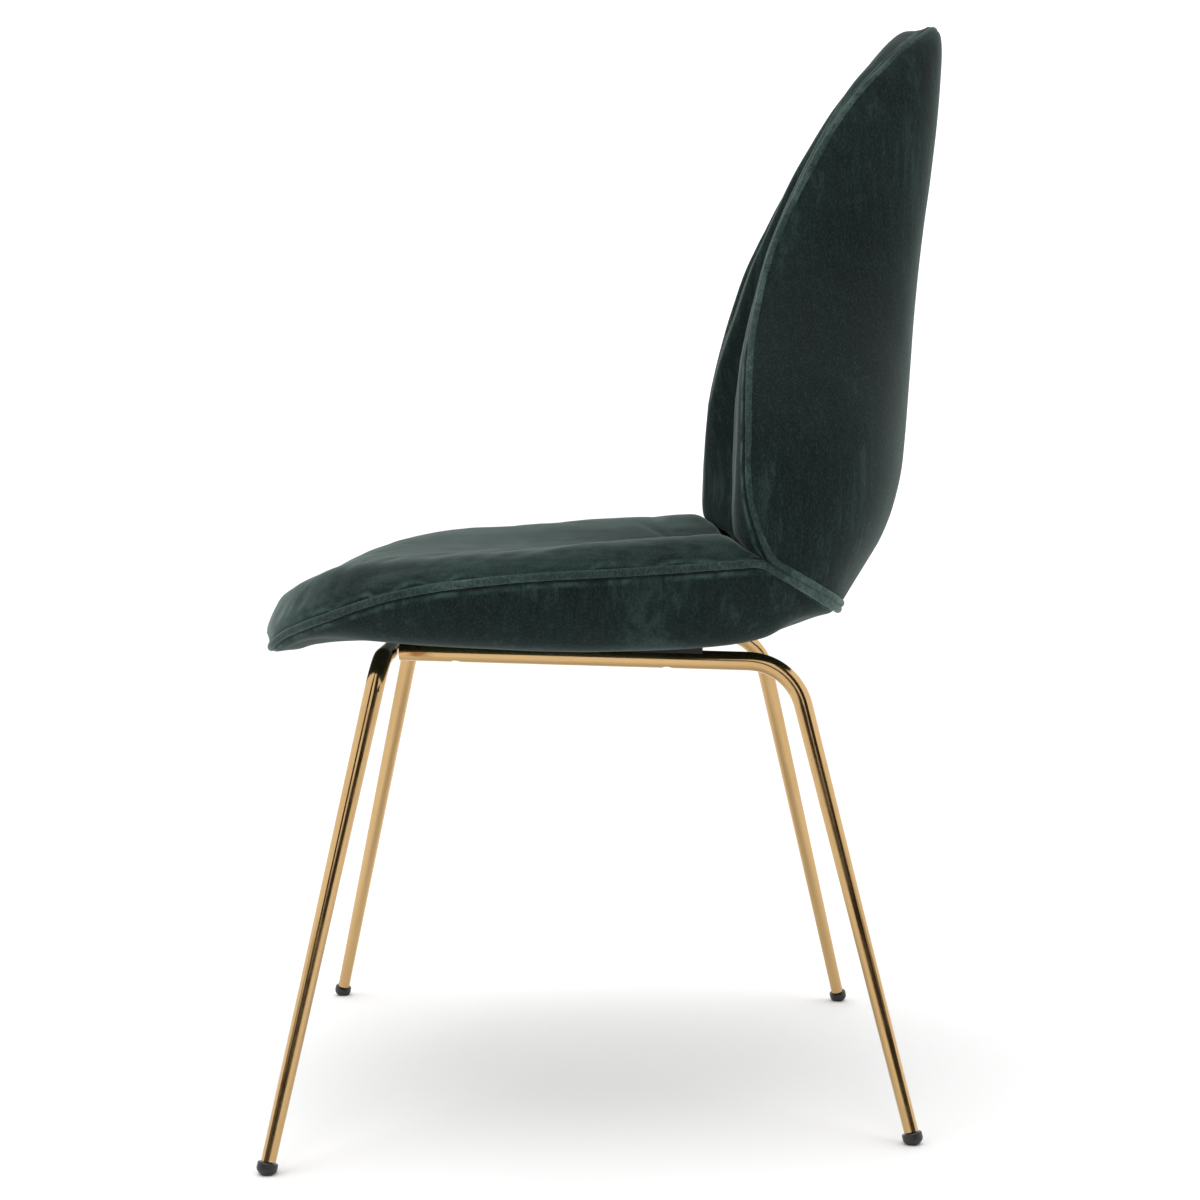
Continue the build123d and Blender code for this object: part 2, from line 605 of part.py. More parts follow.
with BuildPart() as joint_screws:
    for x in (BRACKET_X, -BRACKET_X):
        for screw in BAR_SCREWS:
            with BuildSketch(screw_plane(x, screw, BAR_T / 2 + 0.1)):
                Circle(4.5)
            extrude(amount=2.6)
            with BuildSketch(screw_plane(x, screw, -9.0)):
                Circle(2.4)
            extrude(amount=9.0 + BAR_T / 2 + 0.4)
            with BuildSketch(screw_plane(x, screw, BAR_T / 2 + 1.2)):
                RegularPolygon(1.8, 6)
            extrude(amount=2.0, mode=Mode.SUBTRACT)

with BuildPart() as nut_pockets:
    for p in SCREWS:
        y = p.Y + ORIGIN_Y
        shell_top = under_z(abs(p.X), y) + SHELL_TOP_GAP
        with BuildSketch(Plane.XY.offset(shell_top - 12)):
            with Locations((p.X, p.Y)):
                Circle(9.4)
        extrude(amount=16.5)

for name, item in (("seat_welt", welts["seat_welt"]), ("back_welt", welts["back_welt"]),
                   ("joint_bracket_left", brackets["joint_bracket_left"]),
                   ("joint_bracket_right", brackets["joint_bracket_right"]),
                   ("joint_screws", joint_screws)):
    item.part.label = name
    export_step(item.part, f"parts/{name}.step")

seat_parts = {}
for name, sections in seat_sections.items():
    with BuildPart() as layer:
        for y, low, high in sections:
            with BuildSketch(seat_plane(y)):
                with BuildLine():
                    a = Spline(*low)
                    b = Line(low[-1], high[-1])
                    c = Spline(*reversed(high))
                    d = Line(high[0], low[0])
                make_face()
        loft(ruled=True)
        split(bisect_by=joint_plane(-SIDE_OF_WELT if name == "seat_outer_cover" else -0.3), keep=Keep.BOTTOM)
        if name in ("seat_outer_cover", "seat_shell"):
            radius = 3.3 if name == "seat_outer_cover" else 4.2
            for p in SCREWS:
                with BuildSketch(Plane.XY.offset(p.Z)):
                    with Locations((p.X, p.Y)):
                        Circle(radius)
                extrude(amount=40, mode=Mode.SUBTRACT)
        if name == "seat_foam":
            add(nut_pockets.part, mode=Mode.SUBTRACT)
            for pocket in pockets.values():
                add(pocket.part, mode=Mode.SUBTRACT)
        if name == "seat_shell":
            for x in (BRACKET_X, -BRACKET_X):
                for screw in BAR_SCREWS[:2]:
                    with BuildSketch(screw_plane(x, screw, -14)):
                        Circle(2.5)
                    extrude(amount=14, mode=Mode.SUBTRACT)
    seat_parts[name] = layer

# ---------------------------------------------------------------- back layers
back_sections = {"back_outer_cover": [], "back_shell": [], "back_foam": [], "back_inner_cover": []}
for z in BACK_Z:
    outer, inner = back_outer(z), back_inner(z)
    if z <= 860.0:
        back_sections["back_outer_cover"].append(
            (z, *offsets(outer, (-COVER_T, 0.0), table(BACK_EDGE, z)[0], COUNT)))
    if z != 860.0:
        back_sections["back_inner_cover"].append(
            (z, *offsets(inner, (0.0, COVER_T), COVER_EDGE, COUNT)))
    if z <= 845.0:
        shell_low, shell_high, high = offsets(
            outer, (-TOP_IN - SHELL_T, -TOP_IN, -FOAM_IN), SHELL_EDGE, COUNT)
        back_sections["back_shell"].append((z, shell_low, shell_high))
        low, = offsets(inner, (TOP_IN,), 6.5, COUNT)
        back_sections["back_foam"].append((z, low, high))

back_parts = {}
for name, sections in back_sections.items():
    with BuildPart() as layer:
        for z, low, high in sections:
            with BuildSketch(Plane.XY.offset(z)):
                with BuildLine():
                    a = Spline(*low)
                    b = Line(low[-1], high[-1])
                    c = Spline(*reversed(high))
                    d = Line(high[0], low[0])
                make_face()
        loft(ruled=True)
        split(bisect_by=joint_plane(SIDE_OF_WELT if name == "back_outer_cover" else 0.3), keep=Keep.TOP)
        if name == "back_foam":
            for pocket in pockets.values():
                add(pocket.part, mode=Mode.SUBTRACT)
        if name == "back_shell":
            for x in (BRACKET_X, -BRACKET_X):
                for screw in BAR_SCREWS[2:]:
                    with BuildSketch(screw_plane(x, screw, -14)):
                        Circle(2.5)
                    extrude(amount=14, mode=Mode.SUBTRACT)
    back_parts[name] = layer

for group in (seat_parts, back_parts):
    for name, layer in group.items():
        print(name, "solids", len(layer.part.solids()), "volume", round(layer.part.volume), layer.part.is_valid)
        layer.part.label = name
        export_step(layer.part, f"parts/{name}.step")
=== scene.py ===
import math

import bpy
import numpy as np
from mathutils import Matrix, Vector


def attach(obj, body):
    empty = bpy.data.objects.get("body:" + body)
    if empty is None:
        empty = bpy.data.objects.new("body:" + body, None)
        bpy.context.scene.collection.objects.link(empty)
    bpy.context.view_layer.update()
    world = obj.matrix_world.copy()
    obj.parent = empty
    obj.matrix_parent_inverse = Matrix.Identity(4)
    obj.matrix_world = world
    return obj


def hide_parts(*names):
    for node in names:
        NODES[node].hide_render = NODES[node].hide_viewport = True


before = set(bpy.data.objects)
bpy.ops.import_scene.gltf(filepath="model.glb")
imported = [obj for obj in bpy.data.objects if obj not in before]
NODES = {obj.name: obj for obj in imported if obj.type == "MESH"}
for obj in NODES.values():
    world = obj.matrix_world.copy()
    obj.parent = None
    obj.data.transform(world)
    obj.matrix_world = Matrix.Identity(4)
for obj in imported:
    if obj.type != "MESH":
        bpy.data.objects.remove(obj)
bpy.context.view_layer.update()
SC = bpy.context.scene

# ------------------------------------------------------------------ camera
OY = 0.252155
CAM = np.array([1.75987, 0.22127 - OY, 0.50476])
YAW, PITCH, ROLL = 0.0165426, 0.0604755, -0.0091597
fwd = np.array([-math.cos(YAW) * math.cos(PITCH), math.sin(YAW) * math.cos(PITCH), -math.sin(PITCH)])
right = np.array([math.sin(YAW), math.cos(YAW), 0.0])
up = np.cross(right, fwd)
r2 = math.cos(ROLL) * right + math.sin(ROLL) * up
u2 = -math.sin(ROLL) * right + math.cos(ROLL) * up
cam_data = bpy.data.cameras.new("camera")
cam_data.sensor_width = 36.0
cam_data.lens = 63.0
cam_data.clip_end = 100.0
cam = bpy.data.objects.new("camera", cam_data)
SC.collection.objects.link(cam)
cam.matrix_world = Matrix([[r2[i], u2[i], -fwd[i], CAM[i]] for i in range(3)] + [[0, 0, 0, 1]])
SC.camera = cam
SC.view_settings.view_transform = "Standard"
SC.view_settings.look = "None"
SC.view_settings.exposure = 0.0
SC.view_settings.gamma = 1.0

# ------------------------------------------------------------------ the chair's shape tables, in mm
# y here is measured from the front feet line
SEAT = np.array([
    (-26.3, 56.0, 368.0, 26.0, 380.0, 379.8, 366.4, 366.0),
    (-25.0, 66.0, 368.5, 34.0, 387.5, 387.0, 366.0, 365.4),
    (-22.0, 82.0, 368.8, 48.0, 394.0, 393.0, 365.4, 364.6),
    (-16.0, 104.0, 371.0, 68.0, 402.5, 401.5, 365.4, 364.0),
    (-8.0, 126.0, 376.0, 92.0, 410.5, 409.0, 367.2, 364.4),
    (4.0, 150.0, 383.5, 117.0, 418.5, 416.0, 371.6, 365.4),
    (20.0, 173.0, 390.5, 141.0, 426.5, 421.5, 378.0, 370.0),
    (45.0, 200.0, 400.0, 168.0, 436.5, 426.5, 381.2, 373.6),
    (80.0, 224.0, 412.5, 193.0, 443.5, 429.5, 379.4, 375.6),
    (120.0, 240.0, 422.0, 210.0, 448.5, 430.0, 376.8, 375.8),
    (160.0, 248.0, 427.0, 218.0, 451.0, 429.0, 374.8, 375.2),
    (200.0, 250.0, 430.3, 220.0, 453.5, 428.0, 372.8, 374.6),
    (240.0, 248.0, 432.0, 218.0, 456.5, 427.0, 371.4, 374.2),
    (290.0, 240.5, 434.0, 211.0, 459.0, 426.0, 371.6, 374.2),
    (330.0, 230.5, 436.0, 201.0, 461.0, 425.5, 373.0, 374.6),
    (352.0, 224.2, 437.0, 195.0, 461.5, 425.5, 374.9, 374.6),
    (372.0, 217.9, 437.3, 189.0, 461.5, 426.0, 378.8, 375.8),
    (400.0, 205.0, 420.5, 180.0, 461.5, 428.0, 391.8, 382.5),
    (420.0, 181.5, 408.5, 158.0, 461.5, 430.0, 394.0, 389.0),
    (445.0, 50.0, 393.5, 34.0, 461.5, 432.0, 394.0, 393.6),
])
BACK = np.array([
    (380.0, 150.0, 424.0, 432.5, 150.0, 395.0, 396.0),
    (395.0, 190.0, 400.0, 440.0, 165.0, 385.0, 392.0),
    (410.0, 205.0, 388.0, 449.6, 178.0, 372.0, 396.0),
    (430.0, 216.0, 376.0, 463.4, 188.0, 360.0, 401.0),
    (455.0, 222.5, 366.0, 479.2, 193.0, 351.5, 415.0),
    (480.0, 225.0, 358.5, 489.2, 194.0, 349.3, 429.0),
    (505.0, 223.0, 356.0, 495.4, 191.0, 349.5, 438.0),
    (530.0, 216.0, 357.0, 498.6, 184.0, 350.2, 442.5),
    (560.0, 199.0, 358.8, 501.9, 168.0, 352.5, 446.5),
    (590.0, 177.0, 362.0, 505.2, 147.0, 357.0, 451.0),
    (620.0, 154.0, 368.0, 508.2, 125.0, 363.5, 455.5),
    (650.0, 135.0, 376.0, 511.4, 108.0, 371.5, 460.0),
    (680.0, 121.0, 386.0, 515.0, 95.0, 381.0, 464.5),
    (710.0, 112.0, 400.0, 519.0, 86.0, 394.0, 470.0),
    (740.0, 105.0, 415.5, 523.5, 80.0, 409.0, 475.0),
    (770.0, 97.0, 433.0, 527.3, 72.0, 425.5, 480.0),
    (800.0, 86.0, 454.5, 530.6, 62.0, 443.5, 482.5),
    (825.0, 72.0, 478.5, 532.4, 49.0, 462.0, 483.5),
    (845.0, 55.0, 500.0, 533.6, 34.0, 480.0, 487.5),
    (857.0, 37.0, 514.0, 533.9, 20.0, 492.0, 495.0),
    (864.0, 22.0, 521.5, 533.5, 11.0, 501.0, 502.5),
    (866.5, 8.0, 526.0, 532.5, 4.0, 506.5, 507.0),
])
JS = 0.60


def pchip(xs, ys):
    """Monotone cubic through the points, held level outside them."""
    xs, ys = np.asarray(xs, float), np.asarray(ys, float)
    h, d = np.diff(xs), np.diff(ys) / np.diff(xs)
    m = np.zeros(len(xs))
    for i in range(1, len(xs) - 1):
        if d[i - 1] * d[i] > 0:
            w1, w2 = 2 * h[i] + h[i - 1], h[i] + 2 * h[i - 1]
            m[i] = (w1 + w2) / (w1 / d[i - 1] + w2 / d[i])
    m[0], m[-1] = d[0], d[-1]

    def f(x):
        x = np.clip(x, xs[0], xs[-1])
        i = np.clip(np.searchsorted(xs, x, side="right") - 1, 0, len(h) - 1)
        t = (x - xs[i]) / h[i]
        return ((1 + 2 * t) * (1 - t) ** 2 * ys[i] + t * (1 - t) ** 2 * h[i] * m[i]
                + t * t * (3 - 2 * t) * ys[i + 1] + t * t * (t - 1) * h[i] * m[i + 1])
    return f


S_COL = [pchip(SEAT[:, 0], SEAT[:, k]) for k in range(1, 8)]
B_COL = [pchip(BACK[:, 0], BACK[:, k]) for k in range(1, 7)]
TOP_DISH = pchip([-0.28, 0, 0.28, 0.55, 0.8, 1.0, 1.2], [0.93, 1.0, 0.93, 0.66, 0.22, 0.0, 0.22])
BACK_DISH = pchip([-0.33, 0, 0.33, 0.62, 0.84, 1.0, 1.16], [0.90, 1.0, 0.90, 0.55, 0.17, 0.0, 0.17])


def joint_z(y):
    return 438.5 - JS * (y - 370.0)


def joint_seen(x, y):
    """Height of the crease between the seat pad and the back pad."""
    far = smooth01((-x - 90.0) / 70.0)
    return joint_z(y) + 3.0 * np.clip((356.0 - y) / 14.0, 0, 1) + 12.0 * far * np.clip((371.0 - y) / 12.0, 0, 1)


def smooth01(x):
    x = np.clip(x, 0, 1)
    return x * x * (3 - 2 * x)


def smin(a, b, r):
    h = np.clip(r - np.abs(a - b), 0, None) / r
    return np.minimum(a, b) - h * h * r / 4


def rear_half_width(y):
    z = joint_z(y)
    w, yr, ys = (np.interp(z, BACK[1:, 0], BACK[1:, k]) for k in (1, 2, 3))
    t = np.clip((y - yr) / (ys - yr), 0.0, 1.0)
    return w * (1 - t ** 2.2) ** (1 / 2.2)


def seat_top(x, y):
    w, zr, xc, zc, zd, _, _ = (c(y) for c in S_COL)
    ax = np.abs(x)
    side = zr + (zc - zr) * np.sqrt(np.clip(1 - ((ax - xc) / np.maximum(w - xc, 1e-6)) ** 2, 0, 1))
    dish = zc - (zc - zd) * TOP_DISH(np.clip(ax / xc, 0, 1))
    z = np.where(ax > xc, side, dish)
    z = z - np.where(x > 0, 2.5, 4.8) * np.clip(x / 215.0, -1, 1) * np.clip((y + 10) / 90.0, 0, 1)
    return smin(z, joint_seen(x, y) - 0.4, 6.0)


def seat_under(x, y):
    w, zr, _, _, _, zs, zb = (c(y) for c in S_COL)
    u = np.abs(x) / np.maximum(w, 1e-6)
    side = zr + (zs - zr) * np.sqrt(np.clip(1 - ((u - 0.8) / 0.2) ** 2, 0, 1))
    belly = zb + (zs - zb) * np.clip((u - 0.42) / 0.38, 0, 1) ** 2
    return np.minimum(np.where(u > 0.8, side, belly), joint_z(y) - 0.4)


def back_inner(x, z):
    w, yr, _, xc, yc, yd = (c(z) for c in B_COL)
    ax = np.abs(x)
    side = yr + (yc - yr) * np.sqrt(np.clip(1 - ((ax - xc) / np.maximum(w - xc, 1e-6)) ** 2, 0, 1))
    dish = yc + (yd - yc) * BACK_DISH(np.clip(ax / xc, 0, 1))
    y = np.where(ax > xc, side, dish)
    # the near side is stuffed a little fuller low down, the far side a little flatter at mid height
    full = smooth01((z - 430.0) / 30.0) * smooth01((650.0 - z) / 90.0) * smooth01((x - 40.0) / 90.0)
    flat = smooth01((z - 600.0) / 50.0) * smooth01((765.0 - z) / 60.0) * smooth01((-x - 20.0) / 50.0)
    y = y - 3.2 * full + 3.0 * flat
    far = smooth01((-x - 90.0) / 70.0)
    lift = (3.0 + 7.0 * far) * np.clip((z - 438.0 - 8.0 * (1 - far)) / 8.0, 0, 1) * np.clip((484.0 - z) / 12.0, 0, 1)
    on_joint = 370.0 + (438.5 + lift - z) / JS + 0.6
    return -smin(-y, -on_joint, 7.0)


def back_outer(x, z):
    w, yr, ys = (B_COL[k](z) for k in (0, 1, 2))
    t = np.clip(np.abs(x) / np.maximum(w, 1e-6), 0, 1)
    y = yr + (ys - yr) * (1 - t ** 2.2) ** (1 / 2.2)
    return np.maximum(y, 370.0 + (438.5 - z) / JS + 0.6)


# ------------------------------------------------------------------ seams: the closed lines round the seat and the back
def catmull(points, step):
    """Closed Catmull-Rom curve resampled at an even spacing."""
    p = np.asarray(points, float)
    n, out = len(p), []
    for i in range(n):
        p0, p1, q1, q2 = p[i - 1], p[i], p[(i + 1) % n], p[(i + 2) % n]
        t01 = max(np.linalg.norm(p1 - p0), 1e-6) ** 0.5
        t12 = max(np.linalg.norm(q1 - p1), 1e-6) ** 0.5
        t23 = max(np.linalg.norm(q2 - q1), 1e-6) ** 0.5
        m1 = (q1 - p1 + t12 * ((p1 - p0) / t01 - (q1 - p0) / (t01 + t12)))
        m2 = (q1 - p1 + t12 * ((q2 - q1) / t23 - (q2 - p1) / (t12 + t23)))
        for k in range(24):
            t = k / 24
            out.append((2 * t ** 3 - 3 * t ** 2 + 1) * p1 + (t ** 3 - 2 * t ** 2 + t) * m1
                       + (-2 * t ** 3 + 3 * t ** 2) * q1 + (t ** 3 - t ** 2) * m2)
    return even(np.array(out), step)


def even(line, step=None, count=None):
    """Resample a closed line; the first point stays first."""
    loop = np.vstack([line, line[:1]])
    s = np.concatenate([[0], np.cumsum(np.linalg.norm(np.diff(loop, axis=0), axis=1))])
    count = count or int(round(s[-1] / step))
    at = np.arange(count) / count * s[-1]
    return np.column_stack([np.interp(at, s, loop[:, k]) for k in range(loop.shape[1])])


def both_sides(half):
    """A closed loop from its +X half, whose first and last points lie on X = 0."""
    half = [np.array(p, float) for p in half]
    return half + [p * [-1, 1, 1] for p in reversed(half[1:-1])]


REAR_Y = (376.0, 382.0, 389.0, 397.0, 405.0, 412.0, 419.0, 425.0, 430.0, 434.0, 437.5, 440.0)
seat_half = [(0, -26.6, 367.6), (28, -26.5, 367.7), (56, -25.8, 368.0), (70, -24.4, 368.4)]
seat_half += [(r[1], r[0], r[2]) for r in SEAT[2:15]]
seat_half += [(224.4, 352.0, 437.0), (219.6, 366.0, 438.0)]
seat_half += [(float(rear_half_width(y)), y, joint_z(y)) for y in REAR_Y]
seat_half += [(28.0, 441.7, joint_z(441.7)), (0, 442.2, joint_z(442.2))]
SEAT_LOOP = catmull(both_sides(seat_half), 1.5)
back_half = [(0, 442.2, joint_z(442.2)), (28.0, 441.7, joint_z(441.7))]
back_half += [(float(rear_half_width(y)), y, joint_z(y)) for y in reversed(REAR_Y)]
back_half += [(219.4, 370.6, 442.5)]
back_half += [(r[1], r[2], r[0]) for r in BACK[4:21]]
back_half += [(11.0, 525.6, 866.2), (0, 526.8, 866.8)]
BACK_LOOP = catmull(both_sides(back_half), 1.5)


def draw_back(p, dist=None):
    """Draw the front seam back under the swell of the seat, fading over 19 mm of cover."""
    w = smooth01((128.0 - np.abs(p[:, 0])) / 66.0) * smooth01((6.0 - p[:, 1]) / 16.0)
    if dist is not None:
        w = w * (1 - smooth01(dist / 19.0))
    q = p.copy()
    q[:, 1] += 5.6 * w + 3.0 * smooth01((34.0 - p[:, 1]) / 60.0)
    q[:, 2] -= 1.1 * w
    return q


# ------------------------------------------------------------------ panel meshes
N = 129


def disc_grid(n):
    """Square grid on a disc: each vertex's distance from the middle (0 to 1) and turn (0 to 1)."""
    a = np.linspace(-1, 1, n)
    A, B = np.meshgrid(a, a, indexing="ij")
    r = np.maximum(np.abs(A), np.abs(B))
    with np.errstate(divide="ignore", invalid="ignore"):
        turn = np.select(
            [(A >= np.abs(B)) & (r > 0), (B > np.abs(A)), (-A >= np.abs(B)) & (r > 0)],
            [B / np.where(r > 0, r, 1), 2 - A / np.where(r > 0, r, 1), 4 - B / np.where(r > 0, r, 1)],
            6 + A / np.where(r > 0, r, 1))
    return r.ravel(), ((turn / 8) % 1.0).ravel()


def panel(loop, plan, centre, field, start):
    """Positions of a disc grid laid over a field inside a seam line.

    plan picks the two plan coordinates and the depth coordinate of the loop.
    """
    ia, ib, ic = plan
    ring = np.roll(loop, -start, axis=0)
    L = even(ring, count=960)
    t = 1 - (1 - np.linspace(0, 1, 700)) ** 2.4
    A = centre[0] + (L[:, ia] - centre[0])[:, None] * t
    B = centre[1] + (L[:, ib] - centre[1])[:, None] * t
    C = field(A, B)
    C[:, -1] = L[:, ic]
    seg = np.sqrt(np.diff(A) ** 2 + np.diff(B) ** 2 + np.diff(C) ** 2)
    S = np.concatenate([np.zeros((len(L), 1)), np.cumsum(seg, axis=1)], axis=1)
    u = np.linspace(0, 1, 257)
    P = np.zeros((len(L), 257, 3))
    for i in range(len(L)):
        at = u * S[i, -1]
        P[i, :, ia] = np.interp(at, S[i], A[i])
        P[i, :, ib] = np.interp(at, S[i], B[i])
        P[i, :, ic] = np.interp(at, S[i], C[i])
    r, turn = disc_grid(N)
    fi, fj = turn * len(L), r * 256
    i0, j0 = np.floor(fi).astype(int), np.minimum(np.floor(fj).astype(int), 255)
    ti, tj = (fi - i0)[:, None], (fj - j0)[:, None]
    i0, i1 = i0 % len(L), (i0 + 1) % len(L)
    pos = ((P[i0, j0] * (1 - ti) + P[i1, j0] * ti) * (1 - tj)
           + (P[i0, j0 + 1] * (1 - ti) + P[i1, j0 + 1] * ti) * tj)
    length = S[:, -1][i0]
    return pos, (1 - r) * length, r, turn


def grid_faces(n, flip=False):
    i, j = np.meshgrid(np.arange(n - 1), np.arange(n - 1), indexing="ij")
    a, b, c, d = i * n + j, (i + 1) * n + j, (i + 1) * n + j + 1, i * n + j + 1
    q = np.stack([a, b, c, d], -1).reshape(-1, 4)
    return q[:, ::-1] if flip else q


def edge_ring(n):
    """Indices of the grid's border, in order."""
    e = [i * n for i in range(n - 1)]
    e += [(n - 1) * n + j for j in range(n - 1)]
    e += [i * n + n - 1 for i in range(n - 1, 0, -1)]
    e += [j for j in range(n - 1, 0, -1)]
    return np.array(e)


def closed_panel(front, rear, flip):
    """Vertices and faces of a closed form from two grids with matching borders."""
    verts = np.vstack([front, rear])
    m = len(front)
    faces = [grid_faces(N, flip), grid_faces(N, not flip) + m]
    e = edge_ring(N)
    e2 = np.roll(e, -1)
    side = np.stack([e, e + m, e2 + m, e2], -1)
    faces.append(side if flip else side[:, ::-1])
    return verts, np.vstack(faces)


def normals_of(verts, faces):
    n = np.zeros_like(verts)
    f = np.cross(verts[faces[:, 2]] - verts[faces[:, 0]], verts[faces[:, 3]] - verts[faces[:, 1]])
    for k in range(4):
        np.add.at(n, faces[:, k], f)
    return n / np.maximum(np.linalg.norm(n, axis=1), 1e-12)[:, None]


rng = np.random.default_rng(7)
LATTICE = rng.random((64, 64, 64)).astype(np.float32)


def noise(p, seed=0.0):
    """Smooth noise from -1 to 1 at points p."""
    p = p + np.array([seed * 7.31, seed * 3.17, seed * 5.93])
    i = np.floor(p).astype(int)
    t = p - i
    t = t * t * (3 - 2 * t)
    out = 0
    for dx in (0, 1):
        for dy in (0, 1):
            for dz in (0, 1):
                w = ((t[:, 0] if dx else 1 - t[:, 0]) * (t[:, 1] if dy else 1 - t[:, 1])
                     * (t[:, 2] if dz else 1 - t[:, 2]))
                out = out + w * LATTICE[(i[:, 0] + dx) % 64, (i[:, 1] + dy) % 64, (i[:, 2] + dz) % 64]
    return out * 2 - 1


def make_object(name, verts, faces, attributes=None):
    """A smooth-shaded mesh object from positions in mm, y from the front feet line."""
    co = verts / 1000.0
    co[:, 1] -= OY
    me = bpy.data.meshes.new(name)
    me.from_pydata(co.tolist(), [], faces.tolist() if isinstance(faces, np.ndarray) else faces)
    me.update()
    me.polygons.foreach_set("use_smooth", np.ones(len(me.polygons), bool))
    for key, values in (attributes or {}).items():
        a = me.attributes.new(key, "FLOAT", "POINT")
        a.data.foreach_set("value", np.asarray(values, np.float32))
    ob = bpy.data.objects.new(name, me)
    SC.collection.objects.link(ob)
    return ob


def settle(ob, pinned, cap, pressure=4.0, frames=20, keep=1.0):
    """Swell a closed piece as cloth, its pinned vertices held, and keep up to cap metres of the movement."""
    before = np.zeros(len(ob.data.vertices) * 3)
    ob.data.vertices.foreach_get("co", before)
    group = ob.vertex_groups.new(name="held")
    for w in np.unique(np.round(pinned, 2)):
        if w > 0:
            group.add(np.nonzero(np.abs(pinned - w) < 0.006)[0].tolist(), float(w), "REPLACE")
    mod = ob.modifiers.new("cloth", "CLOTH")
    s = mod.settings
    s.quality = 6
    s.mass = 0.35
    s.tension_stiffness = s.compression_stiffness = 12
    s.shear_stiffness = 6
    s.bending_stiffness = 0.4
    s.vertex_group_mass = "held"
    s.pin_stiffness = 1.0
    s.use_pressure = True
    s.uniform_pressure_force = pressure
    s.effector_weights.gravity = 0.0
    mod.collision_settings.use_collision = False
    mod.point_cache.frame_start, mod.point_cache.frame_end = 1, frames
    for f in range(1, frames + 1):
        SC.frame_set(f)
    dg = bpy.context.evaluated_depsgraph_get()
    ev = ob.evaluated_get(dg)
    after = np.zeros(len(ob.data.vertices) * 3)
    ev.data.vertices.foreach_get("co", after)
    ob.modifiers.remove(mod)
    ob.vertex_groups.remove(group)
    SC.frame_set(1)
    before, after = before.reshape(-1, 3), after.reshape(-1, 3)
    d = after - before
    length = np.linalg.norm(d, axis=1)
    print("settle", ob.name, "largest move mm", round(float(length.max()) * 1000, 2),
          "mean", round(float(length.mean()) * 1000, 2))
    limit = cap * np.tanh(length / cap) / np.maximum(length, 1e-9)
    ob.data.vertices.foreach_set("co", (before + keep * d * limit[:, None]).ravel())
    ob.data.update()


def subdivide(ob):
    m = ob.modifiers.new("subdivision", "SUBSURF")
    m.levels = m.render_levels = 1
    dg = bpy.context.evaluated_depsgraph_get()
    me = bpy.data.meshes.new_from_object(ob.evaluated_get(dg), depsgraph=dg)
    ob.modifiers.remove(m)
    ob.data = me
    me.polygons.foreach_set("use_smooth", np.ones(len(me.polygons), bool))


def start_index(loop, key):
    return int(np.argmin(np.linalg.norm(loop - np.array(key, float), axis=1)))


WELT = 3.3        # piping radius in mm
PLANS = {"seat": (0, 1, 2), "back": (0, 2, 1)}
pieces = {}


def build_pad(name, loop, plan, centre, visible, hidden, depth_sign, seed):
    """A stuffed pad: visible is its face, hidden its side against the shell."""
    start = start_index(loop, loop[0])
    face, dist, r, turn = panel(loop, plan, centre, visible, start)
    ic = plan[2]
    rear = face.copy()
    inner = hidden(face[:, plan[0]], face[:, plan[1]])
    gap = smooth01(dist / 22.0)
    rear[:, ic] = np.where(gap > 0, face[:, ic] + (inner - face[:, ic]) * gap, face[:, ic])
    thin = (rear[:, ic] - face[:, ic]) * depth_sign
    rear[:, ic] = face[:, ic] + depth_sign * np.maximum(thin, 1.2)
    rear[:, plan[0]] *= 1 - 0.012 * (1 - gap)
    verts, faces = closed_panel(face, rear, depth_sign > 0)
    nrm = normals_of(verts, faces)
    m = len(face)
    # the face rolls in at the seam, and puckers a little beside it
    tuck = -1.6 * np.exp(-(dist / 3.2) ** 2) + 0.5 * np.exp(-((dist - 11.0) / 7.0) ** 2)
    pucker = 0.38 * noise(np.column_stack([turn * 150, dist / 30.0, np.full(m, seed)]), seed) * np.exp(-dist / 11.0)
    slow = 0.55 * noise(face / 62.0, seed) + 0.22 * noise(face / 23.0, seed + 1)
    move = tuck + pucker + slow * smooth01(dist / 25.0)
    verts[:m] += nrm[:m] * move[:, None]
    seam = np.concatenate([dist, np.full(m, 99.0)])
    return verts, faces, seam, m


def build_tub(name, loop, plan, centre, field, depth_sign, seed):
    """An outer cover: a closed 2.5 mm skin following the shell."""
    face, dist, r, turn = panel(loop, plan, centre, field, 0)
    m = len(face)
    faces = grid_faces(N, depth_sign > 0)
    nrm = normals_of(face, faces)
    tuck = -1.5 * np.exp(-(dist / 3.2) ** 2) + 0.35 * np.exp(-((dist - 11.0) / 7.0) ** 2)
    pucker = 0.30 * noise(np.column_stack([turn * 170, dist / 30.0, np.full(m, seed)]), seed) * np.exp(-dist / 11.0)
    slow = 0.35 * noise(face / 75.0, seed) + 0.12 * noise(face / 24.0, seed + 1)
    front = face + nrm * (tuck + pucker + slow * smooth01(dist / 25.0))[:, None]
    rear = front - nrm * (0.8 + 1.7 * smooth01(dist / 10.0))[:, None]
    verts, allf = closed_panel(front, rear, depth_sign > 0)
    return verts, allf, np.concatenate([dist, np.full(m, 99.0)]), m


def finish_soft(name, verts, faces, seam, attrs=None):
    data = {"seam": seam}
    data.update(attrs or {})
    return make_object(name, verts, faces, data)


# seat pad
v, f, seam, m = build_pad("seat_pad", SEAT_LOOP, PLANS["seat"], (0.0, 205.0), seat_top,
                          lambda x, y: seat_under(x, y) + 12.0, -1, 1.0)
reach = np.concatenate([seam[:m], seam[:m]])
v = draw_back(v, reach)
pieces["seat_pad"] = finish_soft("seat_pad", v, f, seam)
pins = np.ones(len(v))
pins[:m] = 1 - smooth01((seam[:m] - 4.0) / 16.0)
